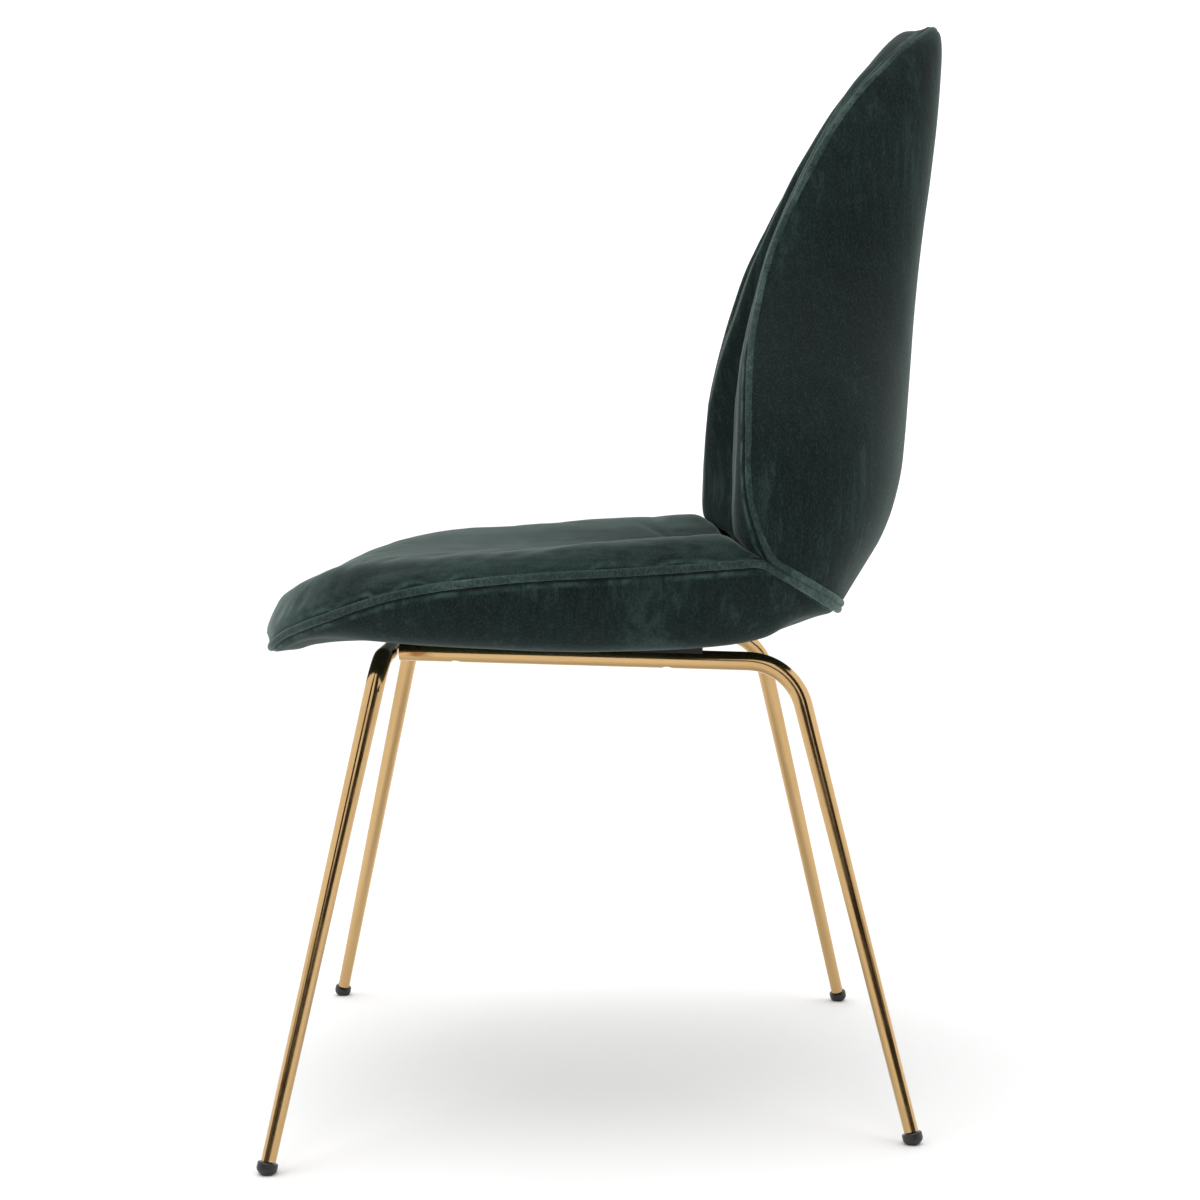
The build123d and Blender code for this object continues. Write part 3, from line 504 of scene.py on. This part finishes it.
# the edge in the crease keeps its shape
pins[:m] = np.maximum(pins[:m], smooth01((v[:m, 1] - 312.0) / 28.0))
settle(pieces["seat_pad"], pins, 0.005, keep=0.6)

# back pad
v, f, seam, m = build_pad("back_pad", BACK_LOOP, PLANS["back"], (0.0, 585.0), back_inner,
                          lambda x, z: back_outer(x, z) - 12.0, 1, 2.0)
pieces["back_pad"] = finish_soft("back_pad", v, f, seam)
pins = np.ones(len(v))
pins[:m] = 1 - smooth01((seam[:m] - 4.0) / 16.0)
pins[:m] = np.maximum(pins[:m], smooth01((486.0 - v[:m, 2]) / 28.0))
settle(pieces["back_pad"], pins, 0.005, keep=0.5)

# outer covers
v, f, seam, m = build_tub("seat_cover", SEAT_LOOP, PLANS["seat"], (0.0, 205.0), seat_under, 1, 3.0)
v = draw_back(v, np.concatenate([seam[:m], seam[:m]]))
pieces["seat_cover"] = finish_soft("seat_cover", v, f, seam)
v, f, seam, m = build_tub("back_cover", BACK_LOOP, PLANS["back"], (0.0, 585.0), back_outer, -1, 4.0)
pieces["back_cover"] = finish_soft("back_cover", v, f, seam)


# ------------------------------------------------------------------ piping
def tube(line, radius, sides, seed, inward=None):
    """A closed roll along a closed line, its radius a little uneven."""
    n = len(line)
    tangent = np.roll(line, -1, axis=0) - np.roll(line, 1, axis=0)
    tangent /= np.linalg.norm(tangent, axis=1)[:, None]
    ref = inward - tangent * np.sum(inward * tangent, axis=1)[:, None]
    ref /= np.linalg.norm(ref, axis=1)[:, None]
    other = np.cross(tangent, ref)
    wob = noise(line / 9.0, seed) * 0.12 + noise(line / 38.0, seed + 2) * 0.16
    verts, faces = [], []
    for k in range(sides):
        a = 2 * math.pi * k / sides
        # a fold line on the side that is sewn in
        flat = 1 - 0.10 * math.exp(-((a - math.pi * 0.5) / 0.35) ** 2)
        rad = (radius + wob)[:, None] * flat
        verts.append(line + ref * math.cos(a) * rad + other * math.sin(a) * rad)
    verts = np.stack(verts, 1).reshape(-1, 3)
    i = np.arange(n)[:, None]
    k = np.arange(sides)[None, :]
    a, b = i * sides + k, i * sides + (k + 1) % sides
    c, d = ((i + 1) % n) * sides + (k + 1) % sides, ((i + 1) % n) * sides + k
    faces = np.stack([a, b, c, d], -1).reshape(-1, 4)
    return verts, faces


def on_joint_mask(line):
    return smooth01((line[:, 1] - 362.0) / 14.0) * (np.abs(joint_z(line[:, 1]) - line[:, 2]) < 14)


JN = np.array([0, JS, 1.0]) / math.hypot(JS, 1.0)
centre_seat, centre_back = np.array([0, 200.0, 405.0]), np.array([0, 455.0, 600.0])
for name, loop, sign, centre in (("seat_piping", SEAT_LOOP, -1, centre_seat), ("back_piping", BACK_LOOP, 1, centre_back)):
    line = even(draw_back(loop) if name == "seat_piping" else loop, step=3.0)
    on_j = on_joint_mask(line)
    for _ in range(6):
        on_j = (np.roll(on_j, 1) + on_j + np.roll(on_j, -1)) / 3
    inward = centre - line
    inward /= np.linalg.norm(inward, axis=1)[:, None]
    # along the joint the two rolls lie side by side and stand a little proud
    line = line + on_j[:, None] * (JN * sign * 3.5) - inward * (on_j * 1.6 - (1 - on_j) * 0.9)[:, None]
    tip = np.exp(-(line[:, 0] / 70.0) ** 2) * (line[:, 1] > 400)
    line[:, 1] += tip * 4.0
    for _ in range(3):
        line = (np.roll(line, 1, axis=0) + 2 * line + np.roll(line, -1, axis=0)) / 4
    v, f = tube(line, WELT, 14, 5.0 + sign, inward)
    pieces[name] = make_object(name, v, f, {"seam": np.full(len(v), 60.0)})


# ------------------------------------------------------------------ materials
def new_material(name):
    mat = bpy.data.materials.new(name)
    mat.use_nodes = True
    nt = mat.node_tree
    nt.nodes.clear()
    out = nt.nodes.new("ShaderNodeOutputMaterial")
    bsdf = nt.nodes.new("ShaderNodeBsdfPrincipled")
    nt.links.new(bsdf.outputs[0], out.inputs[0])
    return mat, nt, bsdf


def node(nt, kind, **values):
    n = nt.nodes.new(kind)
    for k, v in values.items():
        if hasattr(n, k):
            setattr(n, k, v)
        else:
            n.inputs[k.replace("_", " ")].default_value = v
    return n


def noise_node(nt, vector, scale, detail=2.0, rough=0.5, distortion=0.0):
    n = nt.nodes.new("ShaderNodeTexNoise")
    n.inputs["Scale"].default_value = scale
    n.inputs["Detail"].default_value = detail
    n.inputs["Roughness"].default_value = rough
    n.inputs["Distortion"].default_value = distortion
    nt.links.new(vector, n.inputs["Vector"])
    return n.outputs["Fac"]


def mapping(nt, vector, scale):
    n = nt.nodes.new("ShaderNodeMapping")
    n.inputs["Scale"].default_value = scale
    nt.links.new(vector, n.inputs["Vector"])
    return n.outputs["Vector"]


def ramp(nt, fac, stops):
    n = nt.nodes.new("ShaderNodeValToRGB")
    while len(n.color_ramp.elements) < len(stops):
        n.color_ramp.elements.new(0.5)
    for e, (at, colour) in zip(n.color_ramp.elements, stops):
        e.position = at
        e.color = (*colour, 1.0) if len(colour) == 3 else colour
    nt.links.new(fac, n.inputs["Fac"])
    return n.outputs["Color"]


def span(nt, fac, lo, hi, out_lo=0.0, out_hi=1.0, smooth=True):
    n = nt.nodes.new("ShaderNodeMapRange")
    n.interpolation_type = "SMOOTHSTEP" if smooth else "LINEAR"
    n.inputs["From Min"].default_value = lo
    n.inputs["From Max"].default_value = hi
    n.inputs["To Min"].default_value = out_lo
    n.inputs["To Max"].default_value = out_hi
    nt.links.new(fac, n.inputs["Value"])
    return n.outputs["Result"]


def math_node(nt, op, a, b=None):
    n = nt.nodes.new("ShaderNodeMath")
    n.operation = op
    for i, v in enumerate((a, b)):
        if v is None:
            continue
        if isinstance(v, (int, float)):
            n.inputs[i].default_value = v
        else:
            nt.links.new(v, n.inputs[i])
    return n.outputs[0]


def mix_colour(nt, fac, a, b):
    n = nt.nodes.new("ShaderNodeMix")
    n.data_type = "RGBA"
    for key, v in (("Factor", fac), ("A", a), ("B", b)):
        socket = next(s for s in n.inputs if s.name == key and s.enabled)
        if isinstance(v, (int, float)):
            socket.default_value = v
        elif isinstance(v, tuple):
            socket.default_value = (*v, 1.0)
        else:
            nt.links.new(v, socket)
    return next(s for s in n.outputs if s.enabled and s.name == "Result")


def velvet(name, dark, mid, light, pile, sheen_tint, lift=0.0, seam_shade_depth=0.8, sheen=0.30):
    """Short pile velvet: streaks along the pile, broad mottling, a painted sheen line beside the seams and painted
    shade in the seam crease.
    """
    mat, nt, b = new_material(name)
    co = nt.nodes.new("ShaderNodeTexCoord").outputs["Object"]
    along = mapping(nt, co, pile)
    streak = noise_node(nt, along, 9.0, 3.0, 0.55, 0.6)
    mottle = noise_node(nt, co, 13.0, 3.0, 0.6, 0.9)
    broad = noise_node(nt, co, 4.2, 1.5, 0.5, 0.4)
    seam_sheen_noise = noise_node(nt, co, 55.0, 2.0, 0.6, 0.3)
    fine = noise_node(nt, mapping(nt, co, (1.0, 1.0, 0.45)), 820.0, 3.0, 0.7)
    fleck = noise_node(nt, mapping(nt, along, (1.0, 1.0, 1.0)), 150.0, 3.0, 0.65, 0.3)
    base = math_node(nt, "ADD", math_node(nt, "MULTIPLY", streak, 0.40),
                     math_node(nt, "ADD", math_node(nt, "MULTIPLY", mottle, 0.17), math_node(nt, "MULTIPLY", broad, 0.21)))
    base = math_node(nt, "ADD", base, math_node(nt, "MULTIPLY", fleck, 0.24))
    # lift moves the tone range lighter: painted light, used on the seat pad and the piping
    tone = span(nt, base, 0.38 - lift, 0.66 - lift)
    colour = ramp(nt, tone, [(0.0, dark), (0.55, mid), (1.0, light)])
    # painted sheen: a pale line beside the seam, in noise patches, standing in for the sheen on the pile there
    seam = nt.nodes.new("ShaderNodeAttribute")
    seam.attribute_name = "seam"
    dist = seam.outputs["Fac"]
    wander = math_node(nt, "ADD", dist, math_node(nt, "MULTIPLY", math_node(nt, "SUBTRACT", seam_sheen_noise, 0.5), 3.0))
    line = math_node(nt, "MULTIPLY", span(nt, wander, 4.6, 6.2), span(nt, wander, 10.5, 6.8))
    seam_sheen_mask = math_node(nt, "MULTIPLY", line, span(nt, seam_sheen_noise, 0.36, 0.66, 0.10, 0.80))
    colour = mix_colour(nt, seam_sheen_mask, colour, tuple(c * 1.9 for c in light))
    # painted shade: the colour darkens towards the seam line, standing in for the shade in the crease there
    seam_shade = span(nt, dist, 5.0, 2.4, 0.0, seam_shade_depth)
    colour = mix_colour(nt, seam_shade, colour, tuple(c * 0.4 for c in dark))
    grain = mix_colour(nt, span(nt, fine, 0.48, 0.76, 0.0, 0.42), colour, tuple(c * 1.25 for c in light))
    speck = mix_colour(nt, span(nt, fine, 0.52, 0.28, 0.0, 0.45), grain, tuple(c * 0.35 for c in dark))
    nt.links.new(speck, b.inputs["Base Color"])
    nt.links.new(span(nt, streak, 0.3, 0.7, 0.78, 0.96), b.inputs["Roughness"])
    b.inputs["Specular IOR Level"].default_value = 0.12
    b.inputs["Sheen Weight"].default_value = sheen
    b.inputs["Sheen Roughness"].default_value = 0.32
    b.inputs["Sheen Tint"].default_value = (*sheen_tint, 1.0)
    bump1 = nt.nodes.new("ShaderNodeBump")
    bump1.inputs["Strength"].default_value = 0.35
    bump1.inputs["Distance"].default_value = 0.0015
    nt.links.new(math_node(nt, "ADD", math_node(nt, "MULTIPLY", mottle, 0.7), math_node(nt, "MULTIPLY", streak, 0.6)),
                 bump1.inputs["Height"])
    bump2 = nt.nodes.new("ShaderNodeBump")
    bump2.inputs["Strength"].default_value = 0.35
    bump2.inputs["Distance"].default_value = 0.0004
    nt.links.new(fine, bump2.inputs["Height"])
    nt.links.new(bump1.outputs[0], bump2.inputs["Normal"])
    nt.links.new(bump2.outputs[0], b.inputs["Normal"])
    return mat


DARK, MID, LIGHT = (0.0046, 0.0092, 0.0092), (0.0090, 0.0185, 0.0172), (0.028, 0.050, 0.045)
SHEEN = (0.46, 0.58, 0.54)
velvet_upright = velvet("velvet_upright", DARK, MID, LIGHT, (1.0, 1.0, 0.16), SHEEN)
# the seat pad's copy of the velvet: tone painted lighter by a lift of 0.07 for the light on the seat's dish, more
# sheen, and a weaker painted seam shade
velvet_level_painted_lighter = velvet("velvet_level_painted_lighter", DARK, MID, LIGHT, (0.6, 0.2, 1.0), SHEEN, 0.07, 0.55, 0.56)
# the piping's copy of the velvet: base colours about three times lighter than the body's and a lift of 0.03, painted
# sheen of the rolled pile
velvet_piping = velvet("velvet_piping", (0.013, 0.025, 0.023), (0.028, 0.050, 0.045), (0.075, 0.118, 0.105),
                       (1.0, 1.0, 1.0), SHEEN, 0.03, 0.8, 0.50)


def brass(name):
    mat, nt, b = new_material(name)
    co = nt.nodes.new("ShaderNodeTexCoord").outputs["Object"]
    smudge = noise_node(nt, co, 26.0, 4.0, 0.6, 0.5)
    cloud = noise_node(nt, co, 7.0, 2.0, 0.5)
    lines = noise_node(nt, mapping(nt, co, (1.0, 1.0, 0.04)), 700.0, 2.0, 0.6)
    colour = ramp(nt, cloud, [(0.3, (0.50, 0.325, 0.145)), (0.7, (0.57, 0.38, 0.18))])
    colour = mix_colour(nt, span(nt, smudge, 0.52, 0.75, 0.0, 0.25), colour, (0.42, 0.26, 0.11))
    nt.links.new(colour, b.inputs["Base Color"])
    b.inputs["Metallic"].default_value = 1.0
    nt.links.new(span(nt, smudge, 0.3, 0.75, 0.10, 0.19), b.inputs["Roughness"])
    bump = nt.nodes.new("ShaderNodeBump")
    bump.inputs["Strength"].default_value = 0.05
    bump.inputs["Distance"].default_value = 0.0002
    nt.links.new(lines, bump.inputs["Height"])
    nt.links.new(bump.outputs[0], b.inputs["Normal"])
    return mat


def plastic(name, low, high, rough, grain):
    mat, nt, b = new_material(name)
    co = nt.nodes.new("ShaderNodeTexCoord").outputs["Object"]
    scuff = noise_node(nt, co, 160.0, 4.0, 0.65, 0.4)
    fine = noise_node(nt, co, grain, 2.0, 0.5)
    nt.links.new(ramp(nt, scuff, [(0.35, low), (0.75, high)]), b.inputs["Base Color"])
    nt.links.new(span(nt, scuff, 0.3, 0.8, rough, rough + 0.15), b.inputs["Roughness"])
    b.inputs["Specular IOR Level"].default_value = 0.45
    bump = nt.nodes.new("ShaderNodeBump")
    bump.inputs["Strength"].default_value = 0.18
    bump.inputs["Distance"].default_value = 0.0003
    nt.links.new(fine, bump.inputs["Height"])
    nt.links.new(bump.outputs[0], b.inputs["Normal"])
    return mat


def steel(name, low, high):
    mat, nt, b = new_material(name)
    co = nt.nodes.new("ShaderNodeTexCoord").outputs["Object"]
    cloud = noise_node(nt, co, 120.0, 4.0, 0.6, 0.3)
    nt.links.new(ramp(nt, cloud, [(0.3, low), (0.75, high)]), b.inputs["Base Color"])
    b.inputs["Metallic"].default_value = 1.0
    nt.links.new(span(nt, cloud, 0.3, 0.7, 0.28, 0.46), b.inputs["Roughness"])
    return mat


def plywood(name):
    mat, nt, b = new_material(name)
    co = nt.nodes.new("ShaderNodeTexCoord").outputs["Object"]
    grain = noise_node(nt, mapping(nt, co, (1.0, 0.08, 0.3)), 130.0, 5.0, 0.6, 1.2)
    broad = noise_node(nt, co, 6.0, 2.0, 0.5)
    colour = ramp(nt, grain, [(0.3, (0.46, 0.30, 0.16)), (0.6, (0.62, 0.45, 0.27)), (0.85, (0.70, 0.54, 0.35))])
    nt.links.new(mix_colour(nt, math_node(nt, "MULTIPLY", broad, 0.3), colour, (0.40, 0.25, 0.13)), b.inputs["Base Color"])
    nt.links.new(span(nt, grain, 0.2, 0.8, 0.55, 0.75), b.inputs["Roughness"])
    return mat


brass_mat = brass("brass_polished")
glide_mat = plastic("glide_plastic", (0.012, 0.011, 0.011), (0.028, 0.026, 0.026), 0.34, 900.0)
spacer_mat = plastic("spacer_rubber", (0.006, 0.006, 0.006), (0.014, 0.014, 0.014), 0.62, 600.0)
zinc_mat = steel("zinc_steel", (0.36, 0.36, 0.37), (0.58, 0.58, 0.60))
bracket_mat = steel("plain_steel", (0.24, 0.24, 0.25), (0.40, 0.40, 0.41))
ply_mat = plywood("moulded_plywood")

for group, mat in ((("front_leg_left", "front_leg_right", "rear_leg_left", "rear_leg_right", "front_crossbar"), brass_mat),
                   (("glide_front_left", "glide_front_right", "glide_rear_left", "glide_rear_right"), glide_mat),
                   (("rail_spacer_left", "rail_spacer_right"), spacer_mat),
                   (("frame_screws", "tee_nuts", "joint_screws"), zinc_mat),
                   (("joint_bracket_left", "joint_bracket_right"), bracket_mat),
                   (("seat_shell", "back_shell"), ply_mat)):
    for n in group:
        for s in NODES[n].material_slots:
            s.material = mat

for name, ob in pieces.items():
    ob.data.materials.clear()
    ob.data.materials.append({"seat_pad": velvet_level_painted_lighter, "seat_piping": velvet_piping,
                              "back_piping": velvet_piping}.get(name, velvet_upright))
    subdivide(ob)
    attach(ob, "root")
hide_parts("seat_inner_cover", "seat_foam")
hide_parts("back_inner_cover", "back_foam")
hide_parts("seat_outer_cover")
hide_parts("back_outer_cover")
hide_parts("seat_welt")
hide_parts("back_welt")

# ------------------------------------------------------------------ floor and light
me = bpy.data.meshes.new("floor")
F = 40.0
me.from_pydata([(-F, -F, 0), (F, -F, 0), (F, F, 0), (-F, F, 0)], [], [(0, 1, 2, 3)])
floor = bpy.data.objects.new("floor", me)
SC.collection.objects.link(floor)
mat, nt, b = new_material("floor_pale")
co = nt.nodes.new("ShaderNodeTexCoord").outputs["Object"]
nt.links.new(ramp(nt, noise_node(nt, co, 1.5, 2.0), [(0.3, (0.93, 0.93, 0.93)), (0.7, (0.945, 0.945, 0.945))]),
             b.inputs["Base Color"])
b.inputs["Roughness"].default_value = 0.8
b.inputs["Specular IOR Level"].default_value = 0.2
me.materials.append(mat)

world = bpy.data.worlds.new("studio")
SC.world = world
world.use_nodes = True
wt = world.node_tree
wt.nodes.clear()
wo = wt.nodes.new("ShaderNodeOutputWorld")
bg = wt.nodes.new("ShaderNodeBackground")
bg.inputs["Strength"].default_value = 1.3
wt.links.new(bg.outputs[0], wo.inputs[0])
# a white studio with dark gaps between its screens on the +X side, for the metal to mirror
direction = wt.nodes.new("ShaderNodeTexCoord").outputs["Generated"]
parts = wt.nodes.new("ShaderNodeSeparateXYZ")
wt.links.new(direction, parts.inputs[0])
turn = math_node(wt, "ARCTAN2", parts.outputs["Y"], parts.outputs["X"])
rise = math_node(wt, "ARCSINE", parts.outputs["Z"])


def band(value, a, b, soft):
    """1 between a and b degrees, falling off over soft degrees."""
    a, b, soft = (math.radians(q) for q in (a, b, soft))
    return math_node(wt, "MULTIPLY", span(wt, value, a - soft, a), span(wt, value, b + soft, b))


low = band(rise, -90.0, 66.0, 10.0)
gaps = math_node(wt, "MULTIPLY", band(turn, 9.0, 44.0, 3.0), low)
gaps = math_node(wt, "MAXIMUM", gaps, math_node(wt, "MULTIPLY", band(turn, -36.0, -18.0, 3.0), low))
gaps = math_node(wt, "MAXIMUM", gaps, math_node(wt, "MULTIPLY", band(turn, -70.0, 70.0, 6.0), band(rise, -6.0, 11.0, 3.0)))
# the gaps light and mirror only; the backdrop itself stays white
seen = wt.nodes.new("ShaderNodeLightPath").outputs["Is Camera Ray"]
gaps = math_node(wt, "MULTIPLY", gaps, math_node(wt, "SUBTRACT", 1.0, seen))
wt.links.new(mix_colour(wt, gaps, (1.0, 1.0, 1.0), (0.035, 0.03, 0.026)), bg.inputs["Color"])


def area(name, where, aim, size, power, colour=(1, 1, 1)):
    d = bpy.data.lights.new(name, "AREA")
    d.shape = "RECTANGLE"
    d.size, d.size_y = size
    d.energy = power
    d.color = colour
    o = bpy.data.objects.new(name, d)
    SC.collection.objects.link(o)
    o.location = where
    o.rotation_euler = (Vector(aim) - Vector(where)).to_track_quat("-Z", "Y").to_euler()
    return o


area("top", (0.2, -0.2, 2.6), (0, 0, 0.4), (2.2, 2.2), 14.0)
sun_data = bpy.data.lights.new("overhead", "SUN")
sun_data.energy = 0.35
sun_data.angle = math.radians(38.0)
sun = bpy.data.objects.new("overhead", sun_data)
SC.collection.objects.link(sun)
sun.rotation_euler = (math.radians(6.0), math.radians(8.0), 0.0)
